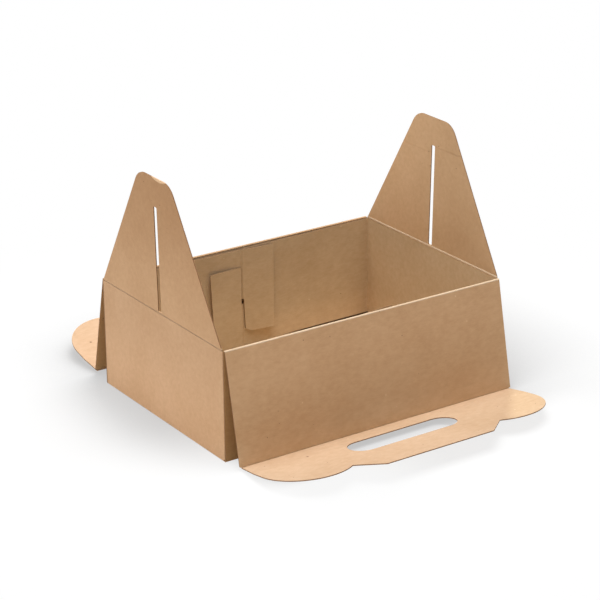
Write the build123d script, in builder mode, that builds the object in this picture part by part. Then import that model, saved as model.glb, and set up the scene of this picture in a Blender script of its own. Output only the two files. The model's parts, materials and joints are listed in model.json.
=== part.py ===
from build123d import *
import os

# Cardboard tray box with a handle, folded from one sheet and standing open.
# The origin is under the middle of the base. X runs along the tray, -Y is its front and Z is up.
# All lengths are in millimetres and all angles in degrees.

# Board
board = 0.8
fold_radius = 0.3
sheet_gap = 0.3

# Tray, measured over its outer faces
tray_length = 256.0
tray_depth = 178.4
crease_height = 89.4

# Creases that the loose panels turn on
crease_offset = 0.1
crease_gap = 0.25

# Side tabs of the end walls, slotted through each other in the middle of the long walls
corner_gap = 0.3
tab_bottom = 1.5
tab_bow = 1.5
slit_x = -0.5
slit_width = 2.4
slit_jog = 0.9
hook_top = 87.6
hook_end_x = 28.6
hook_slit_top = 44.4
hook_slit_flare = 1.2
hook_tongue_bottom = 15.0
hook_chamfer_along = 3.2
hook_chamfer_up = 5.6
hook_corner_radius = 1.5
hook_spring = 2.5
latch_top = 88.0
latch_end_x = -32.4
latch_taper = 3.6
latch_slit_bottom = 40.0
latch_tongue_top = 72.6
latch_corner_radius = 1.5
latch_spring = 2.0

# End flaps
flap_base_inset = 1.1
flap_tip_half = 22.6
flap_height = 108.7
flap_tip_radius = 16.0
flap_slot_width = 4.5
flap_slot_bottom = 1.3
flap_slot_top = 85.5
flap_slot_corner = 1.0
lower_crease_level = 79.0
upper_crease_level = 85.0
pressed_width = 0.7
pressed_depth = 0.15
flap_lean_angles = {"left": 0.9, "right": 1.3}

# Roof panels and the handle panels that hang from them
lid_relief = 0.65
side_clearance = 0.3
lid_lean_angles = {"front": 11.5, "back": 12.8}
handle_rise_angles = {"front": 9.7, "back": 12.6}
handle_base_inset = 1.6
handle_flare = 18.0
wing_level = 30.0
notch_half = 68.0
notch_depth = 60.3
notch_radius = 1.5
grip_half = 49.0
grip_depth = 77.3
grip_corner_radius = 5.0
hole_length = 97.0
hole_height = 25.2
hole_centre = 28.9

# Sizes that follow
fold_middle = fold_radius + board / 2
fold_outside = fold_radius + board
half_length = tray_length / 2
half_depth = tray_depth / 2
wall_top = crease_height - crease_gap
long_wall_half = half_length - board / 2
end_wall_half = half_depth - board - corner_gap
flap_base_half = end_wall_half - flap_base_inset
panel_half = half_length - board - side_clearance
lid_length = half_depth - lid_relief
handle_base_half = panel_half - handle_base_inset
bevel_margin = 1.0
up = Vector(0, 0, 1)
outward_directions = {
    "front": Vector(0, -1, 0),
    "back": Vector(0, 1, 0),
    "left": Vector(-1, 0, 0),
    "right": Vector(1, 0, 0),
}
crest_middles = {
    "front": Vector(0, -half_depth, crease_height),
    "back": Vector(0, half_depth, crease_height),
    "left": Vector(-half_length, 0, crease_height),
    "right": Vector(half_length, 0, crease_height),
}


def crest_section(side):
    """Section plane on a wall's crest: X runs inwards through the board, Y up, and Z along the crease."""
    outward = outward_directions[side]
    on_crease = crest_middles[side] + outward * crease_offset
    return Plane(origin=on_crease, x_dir=-outward, z_dir=up.cross(outward))


def panel_face(section):
    """Outline plane of a panel on the face beside its crease: X along the crease, Y away from it."""
    on_face = section.origin + section.x_dir * crease_offset
    return Plane(origin=on_face, x_dir=-section.z_dir, z_dir=section.x_dir)


def wall_bevel(section, reach):
    """Air over a wall's top edge, which falls at 45 degrees from its outer face inwards."""
    with BuildSketch(section) as bevel:
        with BuildLine():
            Polyline(
                (crease_offset - bevel_margin, bevel_margin - crease_gap),
                (crease_offset + reach, -crease_gap - reach),
                (crease_offset + reach, bevel_margin - crease_gap),
                close=True,
            )
        make_face()
    return bevel.sketch


def panel_bevel(section):
    """Air under a panel's hinged edge, which rises at 45 degrees from the face beside the crease."""
    with BuildSketch(section) as bevel:
        with BuildLine():
            Polyline(
                (crease_offset - bevel_margin, crease_gap - bevel_margin),
                (crease_offset + board + bevel_margin, crease_gap + board + bevel_margin),
                (crease_offset + board + bevel_margin, crease_gap - bevel_margin),
                close=True,
            )
        make_face()
    return bevel.sketch


def folded_section(plane, half_span, top):
    """U-shaped section of the base with a wall folded up at each side."""
    with BuildSketch(plane) as section:
        with BuildLine():
            FilletPolyline(
                (-half_span + board / 2, top),
                (-half_span + board / 2, board / 2),
                (half_span - board / 2, board / 2),
                (half_span - board / 2, top),
                radius=fold_middle,
            )
        trace(line_width=board)
    return section.sketch


def end_wall_plan(side, tab_end_x, spring):
    """Plan of an end wall and its two tabs, which pass through the slits of the tabs they meet."""
    at_fold = end_wall_half - board / 2
    behind_slit = at_fold - tab_bow
    before_slit = behind_slit - board - sheet_gap
    wall_x = side * (half_length - board / 2)
    back_half = [
        (wall_x, at_fold),
        (slit_x + side * slit_jog, behind_slit),
        (slit_x - side * slit_jog, before_slit),
        (tab_end_x, before_slit - spring),
    ]
    front_half = [(x, -y) for x, y in reversed(back_half)]
    with BuildSketch(Plane.XY.offset(tab_bottom)) as plan:
        with BuildLine():
            FilletPolyline(*front_half, *back_half, radius=[0, 0, fold_middle, fold_middle, 0, 0])
        trace(line_width=board)
    return plan.sketch


# Left end wall. Its tabs are hooks: the slit is cut from below, so each drops over the tab that it meets.
with BuildPart() as left_end:
    extrude(end_wall_plan(-1, hook_end_x, hook_spring), amount=wall_top - tab_bottom)
    with BuildSketch(Plane.XZ) as hook_elevation:
        with Locations((-half_length, tab_bottom)):
            Rectangle(half_length + hook_end_x, hook_top - tab_bottom, align=Align.MIN)
            Rectangle(fold_outside, wall_top - tab_bottom, align=Align.MIN)
        with Locations((slit_x, tab_bottom)):
            Rectangle(
                hook_end_x - slit_x, hook_tongue_bottom - tab_bottom,
                align=Align.MIN, mode=Mode.SUBTRACT,
            )
        # The slit opens out downwards on the tongue's side, which leads it over the latch
        tongue_foot_x = slit_x + slit_width / 2 + hook_slit_flare
        with BuildLine():
            Polyline(
                (slit_x - slit_width / 2, tab_bottom),
                (slit_x - slit_width / 2, hook_slit_top),
                (slit_x + slit_width / 2, hook_slit_top),
                (tongue_foot_x, hook_tongue_bottom),
                (tongue_foot_x, tab_bottom),
                close=True,
            )
        make_face(mode=Mode.SUBTRACT)
        tongue_corners = hook_elevation.vertices().group_by(Axis.X)[-1]
        fillet(tongue_corners, hook_corner_radius)
        tongue_foot = (tongue_foot_x, hook_tongue_bottom)
        tongue_foot = hook_elevation.vertices().sort_by_distance(tongue_foot)[0]
        chamfer(tongue_foot, length=hook_chamfer_along, length2=hook_chamfer_up)
    extrude(amount=half_depth, both=True, mode=Mode.INTERSECT)

# Right end wall. Its tabs are latches: the slit is cut from above, and each tongue lies over a hook.
with BuildPart() as right_end:
    extrude(end_wall_plan(1, latch_end_x, latch_spring), amount=wall_top - tab_bottom)
    with BuildSketch(Plane.XZ) as latch_elevation:
        with BuildLine():
            Polyline(
                (half_length, tab_bottom),
                (half_length, latch_top),
                (slit_x, latch_top),
                (slit_x, latch_tongue_top),
                (latch_end_x, latch_tongue_top),
                (latch_end_x + latch_taper, tab_bottom),
                close=True,
            )
        make_face()
        with Locations((half_length, tab_bottom)):
            Rectangle(fold_outside, wall_top - tab_bottom, align=(Align.MAX, Align.MIN))
        with Locations((slit_x, latch_slit_bottom)):
            Rectangle(
                slit_width, wall_top - latch_slit_bottom,
                align=(Align.CENTER, Align.MIN), mode=Mode.SUBTRACT,
            )
        tongue_corner = latch_elevation.vertices().sort_by_distance((latch_end_x, latch_tongue_top))[0]
        fillet(tongue_corner, latch_corner_radius)
    extrude(amount=half_depth, both=True, mode=Mode.INTERSECT)

# Tray
with BuildPart() as tray:
    # The long walls run the whole length, and their cut ends stand beside the end walls' folds
    extrude(folded_section(Plane.YZ, half_depth, wall_top), amount=long_wall_half, both=True)
    with BuildSketch(Plane.XY):
        with Locations((-half_length, 0), (half_length, 0)):
            Rectangle(2 * fold_outside, tray_depth - 2 * fold_outside)
    extrude(amount=board, mode=Mode.SUBTRACT)

    # The end walls fold up between them, with the sheet nicked away at the four corners
    end_fold_top = fold_outside + board
    extrude(
        folded_section(Plane.XZ, half_length, end_fold_top),
        amount=end_wall_half - fold_outside,
        both=True,
    )
    add(left_end.part)
    add(right_end.part)

    # The wall tops are bevelled, so that the loose panels can fold over the open tray
    for side in ("front", "back"):
        extrude(
            wall_bevel(crest_section(side), board + corner_gap / 2),
            amount=half_length,
            both=True,
            mode=Mode.SUBTRACT,
        )
    for side in ("left", "right"):
        extrude(
            wall_bevel(crest_section(side), fold_outside),
            amount=end_wall_half,
            both=True,
            mode=Mode.SUBTRACT,
        )

# End flaps: tall and tapered, with a centre slot that takes the ears of the closed handles
end_flaps = {}
for side in ("left", "right"):
    flap_section = crest_section(side).moved(Rotation(0, 0, flap_lean_angles[side]))
    flap_face = panel_face(flap_section)
    with BuildPart() as end_flap:
        with BuildSketch(flap_face) as flap_outline:
            with BuildLine():
                Polyline(
                    (-flap_base_half, crease_gap),
                    (flap_base_half, crease_gap),
                    (flap_tip_half, flap_height),
                    (-flap_tip_half, flap_height),
                    close=True,
                )
            make_face()
            fillet(flap_outline.vertices().group_by(Axis.Y)[-1], flap_tip_radius)
            with Locations((0, flap_slot_bottom)):
                RectangleRounded(
                    flap_slot_width, flap_slot_top - flap_slot_bottom, flap_slot_corner,
                    align=(Align.CENTER, Align.MIN), mode=Mode.SUBTRACT,
                )
        extrude(amount=board)
        extrude(panel_bevel(flap_section), amount=flap_base_half, both=True, mode=Mode.SUBTRACT)

        # A crease is pressed across each half of the inner face, a little higher on one half
        with BuildSketch(flap_face.offset(board)):
            for half, level in ((-1, lower_crease_level), (1, upper_crease_level)):
                with Locations((half * flap_base_half / 2, level)):
                    Rectangle(flap_base_half, pressed_width)
        extrude(amount=-pressed_depth, mode=Mode.SUBTRACT)
    end_flap.part.label = "end_flap_" + side
    end_flaps[side] = end_flap

# Roof panels and handle panels
lids = {}
handles = {}
for side in ("front", "back"):
    lid_section = crest_section(side).moved(Rotation(0, 0, 180 - lid_lean_angles[side]))
    with BuildPart() as lid:
        with BuildSketch(lid_section):
            with BuildLine():
                Polyline(
                    (crease_offset, crease_gap),
                    (crease_offset + board, crease_gap + board),
                    (crease_offset + board, lid_length - crease_gap),
                    (crease_offset, lid_length - crease_gap - board),
                    close=True,
                )
            make_face()
        extrude(amount=panel_half, both=True)
    lid.part.label = "lid_" + side
    lids[side] = lid

    # The handle's crease is on the roof panel's other face, so that the handle can stand on the roof
    handle_crease = lid_section.from_local_coords((board + 2 * crease_offset, lid_length, 0))
    handle_fold = 90 - lid_lean_angles[side] + handle_rise_angles[side]
    handle_section = Plane(
        origin=handle_crease, x_dir=-lid_section.x_dir, z_dir=-lid_section.z_dir
    ).moved(Rotation(0, 0, handle_fold))
    with BuildPart() as handle:
        with BuildSketch(panel_face(handle_section)) as handle_outline:
            with BuildLine():
                Polyline(
                    (0, crease_gap), (handle_base_half, crease_gap),
                    (panel_half, handle_flare), (panel_half, wing_level),
                )
                TangentArc((panel_half, wing_level), (notch_half, notch_depth), tangent=(0, 1))
                Polyline((notch_half, notch_depth), (grip_half, grip_depth), (0, grip_depth))
                mirror(about=Plane.YZ)
            make_face()
            outer_rows = handle_outline.vertices().group_by(Axis.Y)[-2:]
            fillet(outer_rows[0], notch_radius)
            grip_row = outer_rows[1].sort_by(Axis.X)
            fillet([grip_row[0], grip_row[-1]], grip_corner_radius)
            with Locations((0, hole_centre)):
                SlotOverall(hole_length, hole_height, mode=Mode.SUBTRACT)
        extrude(amount=board)
        extrude(panel_bevel(handle_section), amount=panel_half, both=True, mode=Mode.SUBTRACT)
    handle.part.label = "handle_" + side
    handles[side] = handle

tray.part.label = "tray"
os.makedirs("parts", exist_ok=True)
export_step(tray.part, "parts/tray.step")
for side in ("left", "right"):
    export_step(end_flaps[side].part, f"parts/end_flap_{side}.step")
for side in ("front", "back"):
    export_step(lids[side].part, f"parts/lid_{side}.step")
    export_step(handles[side].part, f"parts/handle_{side}.step")
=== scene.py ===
# %% [markdown]
# A tray box folded from one sheet of plain brown board. Its end flaps stand up, its two roof panels hang
# outside the long walls, and a handle panel lies out from the foot of each. The CAD model already holds
# every panel at its real size, so this lesson rounds the creases that the panels turn on, gives the board
# its surface, and sets the light and the camera. X runs along the long walls to the right, Y to the back
# and Z up. Places are in metres, and mm makes a number of millimetres into metres.

# %% Load the frame
import bpy
import bmesh
import json
import math
from mathutils import Euler, Matrix, Vector


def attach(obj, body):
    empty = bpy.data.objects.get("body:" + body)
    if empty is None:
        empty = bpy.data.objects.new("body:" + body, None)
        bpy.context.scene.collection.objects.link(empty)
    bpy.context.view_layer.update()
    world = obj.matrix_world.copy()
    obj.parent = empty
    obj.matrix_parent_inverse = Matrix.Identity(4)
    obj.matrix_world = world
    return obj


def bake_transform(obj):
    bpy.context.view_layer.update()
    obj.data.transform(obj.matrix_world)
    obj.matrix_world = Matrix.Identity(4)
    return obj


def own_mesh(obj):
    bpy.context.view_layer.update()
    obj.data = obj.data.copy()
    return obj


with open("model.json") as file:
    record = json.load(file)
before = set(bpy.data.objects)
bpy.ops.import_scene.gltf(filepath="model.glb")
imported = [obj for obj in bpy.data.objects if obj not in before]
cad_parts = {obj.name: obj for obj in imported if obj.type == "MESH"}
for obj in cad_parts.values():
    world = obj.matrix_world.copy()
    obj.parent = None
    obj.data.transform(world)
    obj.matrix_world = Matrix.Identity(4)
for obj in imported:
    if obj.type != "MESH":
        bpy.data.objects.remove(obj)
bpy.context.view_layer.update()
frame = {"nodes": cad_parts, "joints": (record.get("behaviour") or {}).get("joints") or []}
mm = 0.001
joints = {joint["name"]: joint for joint in frame["joints"]}
print("panels:", ", ".join(sorted(frame["nodes"])))

# %% [markdown]
# The camera stands where the photograph was taken: in front of the box, to its left and above it. A long
# lens keeps the walls nearly parallel. Its length and the sensor's width are in millimetres, as on a real
# camera. Heading, pitch and roll are easier to read than a matrix, so the turn is built from those angles.

# %% Camera
camera_place = Vector((-893.8, -1333.27, 709.85)) * mm
camera_heading = math.radians(33.819)
camera_pitch = math.radians(-21.696)
camera_roll = math.radians(-0.461)
lens_length = 131.49
sensor_width = 36

camera_data = bpy.data.cameras.new("camera")
camera_data.lens = lens_length
camera_data.sensor_width = sensor_width
camera = bpy.data.objects.new("camera", camera_data)
bpy.context.collection.objects.link(camera)
aimed = Euler((math.pi / 2 + camera_pitch, 0, -camera_heading)).to_matrix()
turn = aimed @ Matrix.Rotation(camera_roll, 3, "Z")
camera.matrix_world = Matrix.Translation(camera_place) @ turn.to_4x4()
bpy.context.scene.camera = camera
print("camera looks down by", round(-math.degrees(camera_pitch), 1), "degrees")

# %% [markdown]
# The joints say where the sheet is creased. At each one the CAD model leaves a V-shaped gap between two
# panels, so that they can turn. In the real sheet the board runs through there as a rounded fold, so a
# thin strip has to fill each gap.

# %% Crease places
ends = {"left": -1, "right": 1}
long_sides = {"front": -1, "back": 1}


def crease_axis(joint_name):
    """Middle of a crease, as the joint gives it."""
    return Vector(joints[joint_name]["pos_m"])


for side in long_sides:
    print(side, "crest at", [round(value / mm, 2) for value in crease_axis(f"lid_{side}_crease")])

# %% [markdown]
# The strips and the board's finish are both worked out by trees of nodes. A tree could be drawn by hand in
# the node editor, but a script can be read and repeated. Every node is added in the same way: its settings
# come first, because they decide which inputs it has, and then each input gets a value or a link.

# %% Add a node
def add_node(tree, node_type, settings, values):
    """Add a node: first its settings, then the values or links of its inputs. Gives back its outputs."""
    node = tree.nodes.new(node_type)
    for name, setting in settings.items():
        setattr(node, name, setting)
    for name, value in values.items():
        if isinstance(value, bpy.types.NodeSocket):
            tree.links.new(value, node.inputs[name])
        else:
            node.inputs[name].default_value = value
    return node.outputs


board_look = bpy.data.materials.new("brown_board")
board_look.use_nodes = True
print("material for the folds:", board_look.name)

# %% [markdown]
# A strip is one section swept along a straight line, which is a rule that Geometry Nodes can follow. The
# line is cut into short steps, the section is swept along it, and both ends are closed. No real fold is
# dead straight, so noise then stirs the points a little. The tree ends in plain faces with a material,
# because nothing else is kept when the model is exported.

# %% Tree for the crease strips
waves_per_metre = 160


def crease_strip_tree(look):
    """Sweep a section from Start to End, stir it slightly, and close both ends."""
    tree = bpy.data.node_groups.new("crease_strip", "GeometryNodeTree")
    tree.interface.new_socket("Section", in_out="INPUT", socket_type="NodeSocketGeometry")
    for name in ("Start", "End"):
        tree.interface.new_socket(name, in_out="INPUT", socket_type="NodeSocketVector")
    for name in ("Step", "Unevenness", "Seed"):
        tree.interface.new_socket(name, in_out="INPUT", socket_type="NodeSocketFloat")
    tree.interface.new_socket("Strip", in_out="OUTPUT", socket_type="NodeSocketGeometry")

    def add(node_type, settings, values):
        return add_node(tree, node_type, settings, values)

    given = add("NodeGroupInput", {}, {})
    outline = add("GeometryNodeMeshToCurve", {}, {"Mesh": given["Section"]})
    line = add("GeometryNodeCurvePrimitiveLine", {}, {"Start": given["Start"], "End": given["End"]})
    stations = add("GeometryNodeResampleCurve", {"mode": "LENGTH"}, {
        "Curve": line["Curve"], "Length": given["Step"],
    })
    swept = add("GeometryNodeCurveToMesh", {}, {
        "Curve": stations["Curve"], "Profile Curve": outline["Curve"], "Fill Caps": True,
    })
    noise = add("ShaderNodeTexNoise", {"noise_dimensions": "4D"}, {
        "Scale": waves_per_metre, "Detail": 2, "W": given["Seed"],
    })
    centred = add("ShaderNodeVectorMath", {"operation": "SUBTRACT"}, {0: noise["Color"], 1: (0.5, 0.5, 0.5)})
    nudge = add("ShaderNodeVectorMath", {"operation": "SCALE"}, {
        0: centred["Vector"], "Scale": given["Unevenness"],
    })
    stirred = add("GeometryNodeSetPosition", {}, {"Geometry": swept["Mesh"], "Offset": nudge["Vector"]})
    real = add("GeometryNodeRealizeInstances", {}, {"Geometry": stirred["Geometry"]})
    finished = add("GeometryNodeSetMaterial", {}, {"Geometry": real["Geometry"], "Material": look})
    add("NodeGroupOutput", {}, {"Strip": finished["Geometry"]})
    return tree


strip_tree = crease_strip_tree(board_look)
print("strip tree has", len(strip_tree.nodes), "nodes")

# %% [markdown]
# A section is drawn in millimetres from the crease axis: first how far inwards, over the tray, then how far
# up. The sweep lays a section's first number to the right of its path and its second number down. So every
# path runs with the tray on its right, and the second number is turned over. The tree's result is made a
# plain mesh and its modifier is removed.

# %% Make one strip
station_step = 3 * mm
unevenness = 0.06 * mm
weld_reach = 0.001 * mm


def weld(mesh):
    """Join the points that lie on each other, and turn all faces outwards."""
    shell = bmesh.new()
    shell.from_mesh(mesh)
    bmesh.ops.remove_doubles(shell, verts=shell.verts, dist=weld_reach)
    bmesh.ops.recalc_face_normals(shell, faces=shell.faces)
    shell.to_mesh(mesh)
    shell.free()


def crease_strip(name, section, start, end, seed=0.0):
    """Plain mesh of a section, in millimetres from the axis, swept from start to end."""
    points = [(inward * mm, -height * mm, 0) for inward, height in section]
    edges = [(index, (index + 1) % len(points)) for index in range(len(points))]
    outline = bpy.data.meshes.new(name)
    outline.from_pydata(points, edges, [])
    strip = bpy.data.objects.new(name, outline)
    bpy.context.collection.objects.link(strip)
    modifier = strip.modifiers.new("sweep", "NODES")
    modifier.node_group = strip_tree
    values = {"Start": start, "End": end, "Step": station_step, "Unevenness": unevenness, "Seed": seed}
    for socket in strip_tree.interface.items_tree:
        if socket.in_out == "INPUT" and socket.name in values:
            modifier[socket.identifier] = values[socket.name]
    graph = bpy.context.evaluated_depsgraph_get()
    strip.data = bpy.data.meshes.new_from_object(strip.evaluated_get(graph))
    strip.modifiers.remove(modifier)
    weld(strip.data)
    print(name, "faces:", len(strip.data.polygons))
    return strip


print("strips are stirred by up to", round(unevenness / 2 / mm, 3), "mm")

# %% [markdown]
# Each end flap is creased on its outer side. The board bulges a little into the tray there and leaves a
# shallow groove outside. A strip that was fixed to the wall would part from the flap when it turns; here the
# strip is laid where the fold lies at rest.

# %% End flap creases
flap_reach = 87.0 * mm
fold_section = [
    (0.3, -0.62), (0.9, -1.06), (0.98, -0.62), (1.12, -0.2), (1.12, 0.2), (0.98, 0.62), (0.9, 1.06),
    (0.3, 0.62), (0.5, 0.35), (0.5, -0.35),
]
for side, outward in ends.items():
    axis = crease_axis(f"end_flap_{side}_crease")
    along = Vector((0, -outward, 0)) * flap_reach
    fold = crease_strip(f"{side}_flap_fold", fold_section, axis - along, axis + along, seed=outward)
    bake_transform(fold)

# %% [markdown]
# The roof and handle panels lean, each by its own angle. Their sections could be drawn leaning, but it is
# easier to draw them upright once and to turn them about the crease.

# %% Turn a section
def across_crease(point, outward):
    """World offset of a point given in a section: inwards, then up."""
    return Vector((0, -outward * point[0], point[1]))


def turned(point, degrees):
    """The same point, turned about the crease axis."""
    return tuple(Matrix.Rotation(math.radians(degrees), 2) @ Vector(point))


print("a point inwards, turned by 90 degrees:", [round(part, 3) for part in turned((1, 0), 90)])

# %% [markdown]
# The roof panels are folded right over, so their creases show as a bright rounded crest. A roof panel can
# swing from this fold to the closed roof, more than three quarters of a turn. No strip can bend that far, so
# the crest is made of three: a thin core on the axis, and a soft shoulder on each panel. The bevel is the
# panel's own slanted edge, which the shoulder rests on.

# %% Shoulder of a crest
panel_reach = 126.9 * mm
bevel_foot = (0.1, -0.25)
bevel_normal = (math.sqrt(0.5), math.sqrt(0.5))
shoulder_section = [
    bevel_foot, (0.9, -1.05), (0.9, -0.65), (0.84, -0.38), (0.68, -0.14), (0.46, 0.02), (0.24, 0.11),
    (0.1, 0.12),
]


def soft_shoulder(name, body, joint, outward, shape):
    """Soft edge of one panel, which moves with that panel."""
    axis = crease_axis(joint)
    along = Vector((outward, 0, 0)) * panel_reach
    piece = crease_strip(name, [shape(point) for point in shoulder_section], axis - along, axis + along)
    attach(piece, body)
    tuple(across_crease(shape(bevel_normal), outward))
    tuple(axis + across_crease(shape(bevel_foot), outward) * mm)
    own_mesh(piece)


print("crests are", round(2 * panel_reach / mm, 1), "mm long")

# %% [markdown]
# The wall's shoulder is the section as drawn, and the roof panel's is the same one turned over and down,
# to where the panel hangs. One section for both keeps the crest even.

# %% Crests
lid_leans = {"front": 11.5, "back": 12.8}
core_radius = 0.2
core_sides = 12
core_section = [turned((core_radius, 0), 360 / core_sides * step) for step in range(core_sides)]
for side, outward in long_sides.items():
    joint = f"lid_{side}_crease"
    axis = crease_axis(joint)
    along = Vector((outward, 0, 0)) * panel_reach
    core = crease_strip(f"{side}_crest_core", core_section, axis - along, axis + along, seed=2 + outward)
    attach(core, "tray")
    hanging = 180 - lid_leans[side]
    soft_shoulder(f"{side}_wall_shoulder", "tray", joint, outward, lambda point: point)
    soft_shoulder(
        f"{side}_lid_shoulder", f"lid_{side}", joint, outward,
        lambda point: turned((point[0], -point[1]), hanging),
    )

# %% [markdown]
# The handle panels are creased on their upper side. The fold is open below, so the strip there is a
# wedge that carries the board from the roof panel into the handle. Seen from the axis, the far corner of
# each bevel lies a fixed distance off, at a fixed angle from its panel. The wedge runs from one of these
# corners to the other, and is hollow between them.

# %% Handle creases
handle_reach = 125.3 * mm
handle_rises = {"front": 9.7, "back": 12.6}
corner_angle = 40.6
corner_reach, hollow_reach = 1.38, 1.0
wedge_tip = (0.05, -0.05)
wedge_steps = 8


def wedge_section(lid_way, handle_way):
    """Wedge between two panels, which leave the axis at these angles."""
    first, last = lid_way - corner_angle, handle_way + corner_angle - 360
    section = [wedge_tip]
    for step in range(wedge_steps + 1):
        share = step / wedge_steps
        reach = hollow_reach + (corner_reach - hollow_reach) * (2 * share - 1) ** 2
        section.append(turned((reach, 0), first + (last - first) * share))
    return section


for side, outward in long_sides.items():
    axis = crease_axis(f"handle_{side}_crease")
    along = Vector((outward, 0, 0)) * handle_reach
    lid_way, handle_way = 90 - lid_leans[side], 180 - handle_rises[side]
    wedge = wedge_section(lid_way, handle_way)
    fold = crease_strip(f"{side}_handle_fold", wedge, axis - along, axis + along, seed=5 + outward)
    lid_point = axis + across_crease(turned((1, 0), lid_way), outward) * mm
    handle_point = axis + across_crease(turned((1, 0), handle_way), outward) * mm
    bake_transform(fold)

# %% [markdown]
# Brown board is never one flat colour. Under a lens it is pressed fibre: a cloudy mottle a few millimetres
# across, fine short streaks that run one way, and a few specks of bark and bleached pulp. All of it can be
# worked out from a point's place on the board, so no picture is needed. The sums are easier to read as
# Python expressions than as a drawing of nodes, so a small class lets a socket be added and multiplied.

# %% Sums on sockets
class Socket:
    """An output socket that can be used in sums. Each sum adds the Math node that works it out."""

    def __init__(self, tree, output):
        self.tree = tree
        self.output = output

    def node(self, node_type, settings, values, result=0):
        """Add any node, with sockets or plain values at its inputs. Gives back one of its outputs."""
        plain = {
            name: value.output if isinstance(value, Socket) else value for name, value in values.items()
        }
        return Socket(self.tree, add_node(self.tree, node_type, settings, plain)[result])

    def math(self, operation, *values):
        return self.node("ShaderNodeMath", {"operation": operation}, dict(enumerate(values)))

    def __add__(self, other):
        return self.math("ADD", self, other)

    def __radd__(self, other):
        return self.math("ADD", other, self)

    def __sub__(self, other):
        return self.math("SUBTRACT", self, other)

    def __rsub__(self, other):
        return self.math("SUBTRACT", other, self)

    def __mul__(self, other):
        return self.math("MULTIPLY", self, other)

    def __rmul__(self, other):
        return self.math("MULTIPLY", other, self)

    def size(self):
        """The number without its sign."""
        return self.math("ABSOLUTE", self)

    def or_more(self, other):
        return self.math("MAXIMUM", self, other)

    def at_most(self, other):
        return self.math("MINIMUM", self, other)

    def between(self, low, high):
        """0 up to low, 1 from high, and a soft step between them."""
        return self.node("ShaderNodeMapRange", {"interpolation_type": "SMOOTHSTEP"}, {
            "Value": self, "From Min": low, "From Max": high,
        })

    def dyed(self, first, second):
        """The first colour where this is 0, and the second where it is 1."""
        return self.node("ShaderNodeMix", {"data_type": "RGBA"}, {0: self, 6: first, 7: second}, result=2)

    def times(self, shade):
        """This colour, multiplied by a shade."""
        settings = {"data_type": "RGBA", "blend_type": "MULTIPLY"}
        return self.node("ShaderNodeMix", settings, {0: 1.0, 6: self, 7: shade}, result=2)

    def vector(self, operation, other, result=0):
        """A Vector Math node: its first output is a place, and its second is a number."""
        return self.node("ShaderNodeVectorMath", {"operation": operation}, {0: self, 1: other}, result)

    def near(self, middle, inner, outer):
        """1 for places up to inner from a middle, 0 from outer, and a soft rim between them."""
        return 1 - self.vector("DISTANCE", middle, 1).between(inner, outer)

    def noise(self, per_metre, detail, roughness=0.55):
        """Soft noise from 0 to 1, with so many clouds to the metre."""
        return self.node("ShaderNodeTexNoise", {}, {
            "Vector": self, "Scale": per_metre, "Detail": detail, "Roughness": roughness,
        })

    def parts(self):
        """The three numbers of a place, a direction or a colour."""
        outputs = add_node(self.tree, "ShaderNodeSeparateXYZ", {}, {0: self.output})
        return [Socket(self.tree, output) for output in outputs]


def source(tree, node_type, output):
    """A socket of a node that needs no inputs, such as Texture Coordinate."""
    return Socket(tree, add_node(tree, node_type, {}, {})[output])


print("a socket can do:", ", ".join(name for name in vars(Socket) if not name.startswith("_")))

# %% [markdown]
# Colours are written as they look on a screen, on the usual scale from 0 to 255. A shader works in linear
# light, so each is converted once. These are the board's own colours, and light changes them: under the
# lamps further on a level panel comes out lighter than this, and most walls darker.

# %% Board colours
def colour(red, green, blue):
    """A colour on the scale from 0 to 255, made linear."""
    def linear(value):
        value /= 255
        return value / 12.92 if value <= 0.04045 else ((value + 0.055) / 1.055) ** 2.4
    return (linear(red), linear(green), linear(blue), 1)


board_dark = colour(188, 147, 108)
board_light = colour(218, 181, 145)
core_brown = colour(122, 84, 54)
bark = colour(118, 78, 50)
pale_pulp = colour(232, 202, 168)
print("board, lightest:", [round(part, 3) for part in board_light[:3]])

# %% [markdown]
# A cut edge shows the board's darker core. It could have a material of its own, but the CAD model gives a
# panel only one. So the edge is found by its direction: the two faces of a flat panel point one way, and
# whatever points elsewhere was cut.

# %% Cut edges of flat panels
flap_leans = {"left": 0.9, "right": 1.3}
panel_normals = {}
for side, outward in ends.items():
    lean = math.radians(flap_leans[side])
    panel_normals[f"end_flap_{side}"] = (outward * math.cos(lean), 0, math.sin(lean))
for side, outward in long_sides.items():
    lean, rise = math.radians(lid_leans[side]), math.radians(handle_rises[side])
    panel_normals[f"lid_{side}"] = (0, outward * math.cos(lean), math.sin(lean))
    panel_normals[f"handle_{side}"] = (0, -outward * math.sin(rise), math.cos(rise))


def edges_of_panel(normal):
    """Mask of the cut edges of a flat panel."""
    def mask(place, facing):
        return 1 - facing.vector("DOT_PRODUCT", normal, 1).size().between(0.6, 0.8)
    return mask


print("front roof panel faces", [round(part, 2) for part in panel_normals["lid_front"]])

# %% [markdown]
# Two kinds of panel need more than that. The lines that are pressed across an end flap point up or down, but
# weren't cut. A bit of the left flap's top edge gets a painted highlight, where the edge catches the light,
# and shows no cut edge: a large ball above the flap dips into it, and what it covers is that bit. The tray
# bends round corners, so its edges are named by their places too: the tabs end well inside the corners, and
# the long walls end behind their inner faces.

# %% Cut edges of flaps and tray
highlight_middle = (-0.1298, -0.007, 0.2221)
highlight_inner, highlight_outer = 0.0255, 0.0267
tip_crease = 0.180
corner_start = 0.120
inner_face = 0.0884
base_clearance = 0.010


def painted_highlight_patch(place):
    """Mask of the painted highlight on a bit of the left flap's top edge."""
    return place.near(highlight_middle, highlight_inner, highlight_outer)


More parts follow.
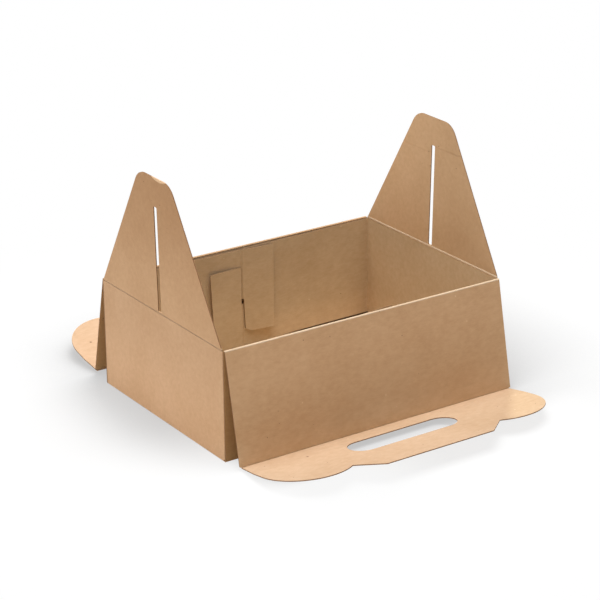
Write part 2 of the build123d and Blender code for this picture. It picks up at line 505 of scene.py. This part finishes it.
def edges_of_flap(normal):
    """Mask of the cut edges of an end flap, without its pressed lines and the bit with the painted
    highlight.
    """
    def mask(place, facing):
        level_side = facing.parts()[2].size().between(0.90, 0.95)
        below_tip = 1 - place.parts()[2].between(tip_crease - mm, tip_crease + mm)
        cut = edges_of_panel(normal)(place, facing) * (1 - level_side * below_tip)
        return cut * (1 - painted_highlight_patch(place))
    return mask


def edges_of_tray(place, facing):
    """Mask of the free ends of the tabs, the ends of the long walls, and all the tops."""
    x, y, z = place.parts()
    facing_x, _, facing_z = facing.parts()
    sideways = facing_x.size().between(0.6, 0.8)
    tab_ends = sideways * (1 - x.size().between(corner_start, corner_start + mm))
    wall_ends = sideways * y.size().between(inner_face - 0.2 * mm, inner_face)
    tops = facing_z.between(0.5, 0.6) * z.between(base_clearance, base_clearance + mm)
    return tab_ends.or_more(wall_ends).or_more(tops)


# The ball marks the bit with the painted highlight.
print("the bent bit is covered by a ball", round(2 * highlight_inner / mm), "mm across")

# %% [markdown]
# Each panel gets a shade, given as shares of the board's colour, and many of these shades are painted light
# and shade. A picture of it could be painted, but a few soft steps across a panel come close. Outside, the
# long walls get painted shade, and the end walls painted light at the foot and painted shade at the top. The
# inside of the tray is painted greyer than its outside, against the reddish light that bounces round inside
# it, and painted palest at its foot, against the shade in the corners, and the gap under a side tab gets a
# painted shadow. A face is inside where it points to the middle of the tray, or up. Each pair of places
# below says where a soft step begins and ends.

# %% Shade of the tray
def tint(red, green, blue):
    """A shade, in shares of the board's red, green and blue."""
    return (red, green, blue, 1)


# Painted shade on the outside of the long walls, which lie in the shade of the hanging roof panels.
outer_long_wall_painted_shade = tint(0.79, 0.69, 0.48)
# Painted light at the foot of the end walls outside, and painted shade at their top.
outer_end_lit_foot, outer_end_shaded_top = tint(1.10, 1.08, 1.05), tint(0.97, 0.95, 0.92)
# Painted grey inside, against the reddish light that bounces round inside the tray.
inner_end_painted_grey, inner_end_lit_foot = tint(0.96, 1.10, 1.15), tint(1.14, 1.30, 1.36)
inner_long_painted_grey, inner_long_lit_foot = tint(1.0, 1.21, 1.33), tint(1.24, 1.48, 1.64)
# Painted shadow in the gap under a side tab.
painted_gap_shadow = tint(0.2, 0.2, 0.2)
# Heights and sides of the soft steps of painted light and shade.
end_wall_shading_height, lit_foot_height, gap_shadow_height = (0.0, 0.085), (0.0, 0.035), (0.0030, 0.0036)
lit_foot_side, gap_shadow_side, gap_shadow_back = (-0.01, 0.05), (0.035, 0.060), (0.080, 0.081)


def tray_shade(place, facing):
    """Painted light and shade of the walls outside and inside, and a painted shadow under a tab. The base
    takes that of the end walls' inner faces.
    """
    x, y, z = place.parts()
    _, facing_y, facing_z = facing.parts()
    upright = 1 - facing_z.between(0.5, 0.6)
    long_wall = facing_y.size().between(0.8, 0.95)
    # Painted light and shade up the end walls outside.
    end_wall = z.between(*end_wall_shading_height).dyed(outer_end_lit_foot, outer_end_shaded_top)
    outer = long_wall.dyed(end_wall, outer_long_wall_painted_shade)

    # Painted grey on the inner walls.
    upper = long_wall.dyed(inner_end_painted_grey, inner_long_painted_grey)
    foot = long_wall.dyed(inner_end_lit_foot, inner_long_lit_foot)
    # Painted light at the foot of the inner walls, against the shade in the corner.
    lit_foot_mask = (1 - z.between(*lit_foot_height)) * x.between(*lit_foot_side) * upright
    inner = lit_foot_mask.dyed(upper, foot)
    # Painted shadow under the tab.
    gap = (1 - z.between(*gap_shadow_height)) * y.between(*gap_shadow_back) * x.between(*gap_shadow_side)
    inner = (gap * upright).dyed(inner, painted_gap_shadow)

    outwards = facing.vector("DOT_PRODUCT", place.vector("MULTIPLY", (1, 1, 0)), 1)
    inside = (0 - outwards).between(0.0, 0.001).or_more(1 - upright)
    return inside.dyed(outer, inner)


print("outside of a long wall, in shares:", outer_long_wall_painted_shade[:3])

# %% [markdown]
# The left flap gets painted shade towards its tip, where less light from the floor reaches it, and the right
# one darkens towards the front. The roof panels face little light on the side of the wall, and the back one
# gets painted shade there. The front one gets painted shade at half height and is painted greyer at its
# foot, where the handle throws light on it.

# %% Shades of the flaps and roof panels
painted_tip_shade = (0.09, 0.19)
lid_foot_painted_grey, lid_top_painted_shade = (0.005, 0.030), (0.035, 0.075)


def left_flap_shade(place, facing):
    """Painted shade, darker and browner towards the tip. A painted highlight on a bit of the edge, on its
    outer side.
    """
    z = place.parts()[2]
    facing_x, _, facing_z = facing.parts()
    outer_side = 1 - facing_x.between(0.4, 0.6)
    # Painted shade: darker and browner towards the tip, where less light from the floor reaches it.
    tone = z.between(*painted_tip_shade).dyed(tint(0.95, 0.92, 0.86), tint(0.76, 0.68, 0.58))
    # Painted highlight on that bit: much paler on its outer side, barely paler on its level edge.
    pale = facing_z.between(0.5, 0.9).dyed(tint(1.35, 1.45, 1.5), tint(1.0, 1.02, 1.05))
    return (painted_highlight_patch(place) * outer_side).dyed(tone, pale)


def right_flap_shade(place, facing):
    """Darker towards the front."""
    return place.parts()[1].between(-0.06, 0.06).dyed(tint(0.91, 0.93, 0.885), tint(1.08, 1.10, 1.05))


def front_lid_shade(place, facing):
    """Painted shade, darkest at half height, and painted greyer at the foot, where the handle throws light
    on it.
    """
    z = place.parts()[2]
    # Painted grey at the foot, and painted shade at half height.
    tone = z.between(*lid_foot_painted_grey).dyed(tint(0.99, 1.02, 0.99), tint(0.92, 0.90, 0.83))
    return z.between(*lid_top_painted_shade).dyed(tone, tint(0.97, 0.94, 0.87))


def back_lid_shade(place, facing):
    """Painted shade, browner on the side that faces the wall, which gets little light."""
    # Painted shade on the side that faces the wall.
    shaded_wall_side = (0 - facing.parts()[1]).between(0.4, 0.6)
    return shaded_wall_side.dyed(tint(0.98, 0.95, 0.88), tint(0.90, 0.83, 0.62))


# The browning printed here is painted shade.
print("the left flap browns between", [round(height / mm) for height in painted_tip_shade], "mm up")

# %% [markdown]
# The front handle is paler to the left, and painted paler along its crease, against the shade of the roof
# panel above it. Its right wing gets a painted highlight, as if it curled up to the light. The board turns
# pale where it is stretched over a crest, and a painted highlight adds to that. The back crest gets less of
# it, and the handles' folds get painted shade. The end flaps' folds are as pale as the front crest.

# %% Shades of the handles and folds
def front_handle_shade(place, facing):
    """Paler to the left, painted light along the crease, and a painted highlight beyond a slanted line
    across the right wing.
    """
    x, y, _ = place.parts()
    tone = x.between(-0.04, 0.08).dyed(tint(0.936, 1.01, 1.113), tint(0.892, 0.964, 1.05))
    # Painted light along the crease, against the shade of the roof panel above.
    tone = (1 - (0 - y).between(0.109, 0.127)).dyed(tone, tint(1.0, 1.08, 1.18))
    # Painted highlight on the right wing.
    return (x - 0.82 * y).between(0.209, 0.223).dyed(tone, tint(1.08, 1.21, 1.30))


def back_handle_shade(place, facing):
    """The same all over."""
    return tint(1.06, 1.135, 1.24)


def fold_highlight_and_shade(place, facing):
    """Pale above, partly stretched fibre and partly a painted highlight, less so at the back, and painted
    shade near the table.
    """
    _, y, z = place.parts()
    # Crests: pale of stretched fibre with a painted highlight, less of it at the back.
    crest = y.between(0.085, 0.086).dyed(tint(1.16, 1.39, 1.64), tint(0.95, 0.97, 0.95))
    # Painted shade on the handles' folds near the table.
    return z.between(0.010, 0.015).dyed(tint(0.70, 0.66, 0.60), crest)


# Each panel's shade; many of them are painted light and shade.
panel_shades = {
    "tray": tray_shade,
    "end_flap_left": left_flap_shade,
    "end_flap_right": right_flap_shade,
    "lid_front": front_lid_shade,
    "lid_back": back_lid_shade,
    "handle_front": front_handle_shade,
    "handle_back": back_handle_shade,
}
print("panels with a shade:", len(panel_shades))

# %% [markdown]
# Specks come from a Voronoi texture, which has one middle in each cell: a small disc round it is a speck,
# and only a few cells keep theirs. They could be single points, but there are hundreds. Two larger flecks
# of bark were seen on the handle panels, and only these are put in by their places.

# %% Specks
speck_core, fleck_core = 0.55, 0.4
fleck_reach = 1.3 * mm
bark_flecks = [(-0.0786, -0.1247, 0.0057), (-0.1103, 0.1465, 0.0115)]


def specks(place, per_metre, reach, share):
    """Mask of scattered spots, in cells of which only a share keeps one. The reach is a share of a cell."""
    cell = add_node(place.tree, "ShaderNodeTexVoronoi", {}, {"Vector": place.output, "Scale": per_metre})
    chance = Socket(place.tree, cell["Color"]).parts()[0]
    spot = 1 - Socket(place.tree, cell["Distance"]).between(reach * speck_core, reach)
    return spot * chance.between(1 - share, 1.001 - share)


def fleck(place, middle):
    """Mask of one fleck with a soft rim."""
    return place.near(middle, fleck_reach * fleck_core, fleck_reach)


print("single flecks:", len(bark_flecks))

# %% [markdown]
# The grain runs along the sheet, so the streaks are stretched along X. One grain serves the whole sheet, so
# that it runs on from panel to panel over the creases. Each noise swings about its middle, so that none of
# them makes the board lighter or darker as a whole.

# %% Grain
cloud_swing, mottle_swing, streak_swing = 0.5, 0.65, 0.3
bark_cover, pulp_cover, fleck_cover = 0.75, 0.5, 0.8


def swing(noise, amount):
    """Noise about 0, as strong as the amount."""
    return (noise - 0.5) * amount


def grain(place):
    """The mottle and the streaks, each from 0 to 1."""
    mottle = place.vector("MULTIPLY", (0.6, 1, 1)).noise(per_metre=260, detail=4.0, roughness=0.65)
    streaks = place.vector("MULTIPLY", (0.16, 1, 1)).noise(per_metre=1500, detail=2.0)
    return mottle, streaks


def board_colour(place, mottle, streaks):
    """Colour of clean board, with its specks and flecks."""
    clouds = place.noise(per_metre=22, detail=2.0)
    tone = 0.5 + swing(clouds, cloud_swing) + swing(mottle, mottle_swing) + swing(streaks, streak_swing)
    board = tone.between(-0.1, 1.1).dyed(board_dark, board_light)
    board = (specks(place, per_metre=170, reach=0.10, share=0.10) * bark_cover).dyed(board, bark)
    board = (specks(place, per_metre=120, reach=0.11, share=0.06) * pulp_cover).dyed(board, pale_pulp)
    for middle in bark_flecks:
        board = (fleck(place, middle) * fleck_cover).dyed(board, bark)
    return board


print("strength of clouds, mottle and streaks:", cloud_swing, mottle_swing, streak_swing)

# %% [markdown]
# Only the shade and the mask of the cut edges differ from panel to panel, and each hands in its own. The
# board is matt and hardly shines. Its fibres stand up by a few hundredths of a millimetre. That could be
# modelled, but it would take millions of faces, and a bump is enough for it.

# %% Board finish
board_roughness, roughness_swing, edge_roughness = 0.80, 0.2, 0.1
board_shine = 0.25
core_cover = 0.8
fibre_height, fibre_strength = 0.06 * mm, 0.6
mottle_relief, streak_relief, wave_relief = 0.6, 0.4, 2.0


def finish_board(look, cut_edges, shade):
    """Give a material the colour, roughness and grain of brown board."""
    tree = look.node_tree
    shader = tree.nodes["Principled BSDF"]
    place = source(tree, "ShaderNodeTexCoord", "Object")
    facing = source(tree, "ShaderNodeTexCoord", "Normal")
    mottle, streaks = grain(place)

    # The shade holds the panel's painted light and shade.
    board = board_colour(place, mottle, streaks).times(shade(place, facing))
    roughness = board_roughness + swing(mottle, roughness_swing)
    if cut_edges:
        edge = cut_edges(place, facing)
        board = (edge * core_cover).dyed(board, core_brown)
        roughness = roughness + edge * edge_roughness
    tree.links.new(board.output, shader.inputs["Base Color"])
    tree.links.new(roughness.output, shader.inputs["Roughness"])
    shader.inputs["Specular IOR Level"].default_value = board_shine

    waves = place.noise(per_metre=40, detail=1.0)
    relief = mottle * mottle_relief + streaks * streak_relief + waves * wave_relief
    bump = relief.node("ShaderNodeBump", {}, {
        "Height": relief, "Distance": fibre_height, "Strength": fibre_strength,
    })
    tree.links.new(bump.output, shader.inputs["Normal"])


finish_board(board_look, None, fold_highlight_and_shade)
print("board finish has", len(board_look.node_tree.nodes), "nodes")

# %% [markdown]
# A panel is a node of the CAD model and brings a slot for its material. Its mesh stays as it was designed,
# so that the motion still fits, and only what is in the slot is exchanged.

# %% Finish the panels
for name, node in frame["nodes"].items():
    if name == "tray":
        cut_edges = edges_of_tray
    elif name.startswith("end_flap"):
        cut_edges = edges_of_flap(panel_normals[name])
    else:
        cut_edges = edges_of_panel(panel_normals[name])
    panel_look = bpy.data.materials.new("brown_board_" + name)
    panel_look.use_nodes = True
    finish_board(panel_look, cut_edges, panel_shades[name])
    for slot in node.material_slots:
        slot.material = panel_look
    print(name, "slots:", len(node.material_slots))

# %% [markdown]
# The box stands on a sheet of white paper that is swept up behind it. A flat square far larger than the box
# does the same work: it fills the view, and it throws light back on the walls.

# %% Floor shape
floor_reach = 4
floor_mesh = bpy.data.meshes.new("floor")
floor_corners = [(x * floor_reach, y * floor_reach, 0) for x, y in ((-1, -1), (1, -1), (1, 1), (-1, 1))]
floor_mesh.from_pydata(floor_corners, [], [(0, 1, 2, 3)])
floor = bpy.data.objects.new("floor", floor_mesh)
bpy.context.collection.objects.link(floor)
floor_look = bpy.data.materials.new("floor")
floor_look.use_nodes = True
floor_mesh.materials.append(floor_look)
print("floor:", 2 * floor_reach, "m wide")

# %% [markdown]
# White paper near an object is never quite white: it darkens where the object hides the sky from it. The
# Ambient Occlusion node measures that. The photograph shows hardly any shadow in front of the handle and at
# the left, so it fades there.

# %% Floor shadow
occlusion_reach = 0.15
deepest_shadow = 0.38
front_fade, left_fade = 0.9, 0.7

floor_tree = floor_look.node_tree
floor_place = source(floor_tree, "ShaderNodeTexCoord", "Object")
floor_x, floor_y, _ = floor_place.parts()
in_front = (0 - floor_y).between(0.120, 0.155) * (1 - floor_x.size().between(0.13, 0.20))
front_left = (0 - floor_x).between(0.10, 0.13) * (1 - floor_y.between(-0.13, 0.01))
far_left = (0 - floor_x).between(0.125, 0.21)
faded = (1 - front_fade * in_front) * (1 - front_left) * (1 - left_fade * far_left)
occlusion = {"Distance": occlusion_reach}
open_sky = floor_place.node("ShaderNodeAmbientOcclusion", {"samples": 16}, occlusion, result=1)
shadow = (1 - open_sky).at_most(deepest_shadow) * faded
print("deepest floor shadow:", deepest_shadow)

# %% [markdown]
# The shadow dims the floor for the camera only, so it still throws plain white light back on the board.
# Rays that are mirrored or pass through something see what the camera sees. Further away the floor melts
# into the white backdrop, and so it does before the left half of the handle, where the photograph is almost
# white.

# %% Where the backdrop shows
def background_rays(tree):
    """1 for the rays that show the background: to the camera, or through a gloss or a glass."""
    kinds = ("Is Camera Ray", "Is Glossy Ray", "Is Transmission Ray")
    camera_ray, glossy_ray, glass_ray = (source(tree, "ShaderNodeLightPath", kind) for kind in kinds)
    return (camera_ray + glossy_ray + glass_ray).at_most(1.0)


melt_start, melt_end = 0.22, 0.42
front_glow = 0.7
far_off = 1 - floor_place.near((0, 0, 0), melt_start, melt_end)
bright_front = in_front * (1 - floor_x.between(-0.06, 0.02)) * front_glow
print("the floor is plain white from", round(melt_end / mm), "mm off")

# %% [markdown]
# Near the box the floor is mostly backdrop, with a share of real paper that takes the lamps' soft shadow.
# A Mix Shader joins the two, with the share as its factor.

# %% Floor finish
floor_white = (0.86, 0.86, 0.86, 1)
backdrop_share = 0.85

paper = floor_tree.nodes["Principled BSDF"]
paper.inputs["Base Color"].default_value = floor_white
paper.inputs["Roughness"].default_value = 1.0
paper.inputs["Specular IOR Level"].default_value = 0.0
backdrop = shadow.node("ShaderNodeEmission", {}, {"Color": 1 - shadow})
share = background_rays(floor_tree) * (backdrop_share + (1 - backdrop_share) * far_off.or_more(bright_front))
mixed = share.node("ShaderNodeMixShader", {}, {0: share, 1: paper.outputs["BSDF"], 2: backdrop})
floor_tree.links.new(mixed.output, floor_tree.nodes["Material Output"].inputs["Surface"])
print("floor finish has", len(floor_tree.nodes), "nodes")

# %% [markdown]
# The sky adds very little light, so that the lamps shape the box, but it is white to the camera. It could
# be lit more strongly to get a white background, but then the box would turn pale as well.

# %% Sky
sky_level = 0.12
world = bpy.data.worlds.new("world")
world.use_nodes = True
sky_tree = world.node_tree
sky = sky_tree.nodes["Background"]
sky.inputs["Color"].default_value = (1, 1, 1, 1)
brightness = sky_level + (1 - sky_level) * background_rays(sky_tree)
sky_tree.links.new(brightness.output, sky.inputs["Strength"])
bpy.context.scene.world = world
print("sky level:", sky_level)

# %% [markdown]
# A studio lights such a box from a wide lamp above, so that level panels are the brightest, and walls glow
# in the light that the floor throws back. A weak lamp at the left lifts the end wall over the front.

# %% Lamps
aim = Vector((0, 0, 0.05))


def soft_lamp(name, place, width, watts):
    """A square lamp that looks at the tray."""
    data = bpy.data.lights.new(name, "AREA")
    data.size = width
    data.energy = watts
    lamp = bpy.data.objects.new(name, data)
    bpy.context.collection.objects.link(lamp)
    heading = (aim - Vector(place)).to_track_quat("-Z", "Y").to_matrix().to_4x4()
    lamp.matrix_world = Matrix.Translation(place) @ heading
    print(name, "lamp:", watts, "W")


soft_lamp("top", place=(0, 0, 1.6), width=1.2, watts=36)
soft_lamp("left", place=(-1.6, -0.3, 0.6), width=1.0, watts=8)
bpy.context.scene.view_settings.view_transform = "Standard"

# %% [markdown]
# The folds and finishes mustn't make the box bigger than the sheet that was designed.
